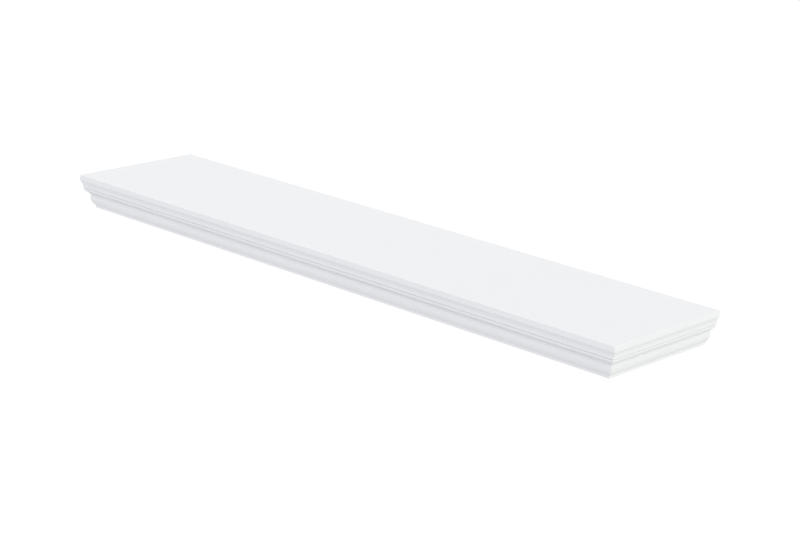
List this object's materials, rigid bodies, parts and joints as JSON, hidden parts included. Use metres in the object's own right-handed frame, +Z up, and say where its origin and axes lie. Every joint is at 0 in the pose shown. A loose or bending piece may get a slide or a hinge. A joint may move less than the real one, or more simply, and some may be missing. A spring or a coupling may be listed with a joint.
{
  "type": "floating wall shelf",
  "caption": "White crown-moulded wall shelf, a hollow shelf that slides over the rods of a hidden steel wall bar and is locked from below.",
  "frame": {"origin": "middle of the wall bar's back face, on the wall", "axes": "+X along the wall to the right as seen from the room, +Y into the wall, +Z up; the shelf's front is towards -Y"},
  "size_m": [0.914, 0.2, 0.045],
  "materials": {
    "lacquered_board": "satin white lacquer on fibreboard",
    "softwood": "sawn and planed softwood, bare",
    "bracket_steel": "matt black powder coat on steel",
    "zinc_steel": "yellow zinc plate on steel",
    "brass": "turned brass",
    "black_steel": "black oxide on steel"
  },
  "bodies": {
    "bracket": {"bracket_bar": "bracket_steel", "support_rod_1": "bracket_steel", "support_rod_2": "bracket_steel", "support_rod_3": "bracket_steel", "support_rod_4": "bracket_steel"},
    "shelf": {"top_panel": "lacquered_board", "bottom_panel": "lacquered_board", "front_moulding": "lacquered_board", "left_moulding": "lacquered_board", "right_moulding": "lacquered_board", "front_rail": "softwood", "middle_rail": "softwood", "rear_rail": "softwood", "left_end_batten": "softwood", "right_end_batten": "softwood", "frame_screws": "zinc_steel", "threaded_insert_left": "brass", "threaded_insert_right": "brass"},
    "lock_screw_left": {"lock_screw_left": "black_steel"},
    "lock_screw_right": {"lock_screw_right": "black_steel"}
  },
  "joints": [
    {"name": "shelf_slide", "type": "slide", "parent": "bracket", "child": "shelf", "axis": [0, -1, 0], "range_m": [0, 0.13]},
    {"name": "lock_screw_left_turn", "type": "slide", "parent": "shelf", "child": "lock_screw_left", "axis": [0, 0, -1], "range_m": [0, 0.004]},
    {"name": "lock_screw_right_turn", "type": "slide", "parent": "shelf", "child": "lock_screw_right", "axis": [0, 0, -1], "range_m": [0, 0.004]}
  ]
}
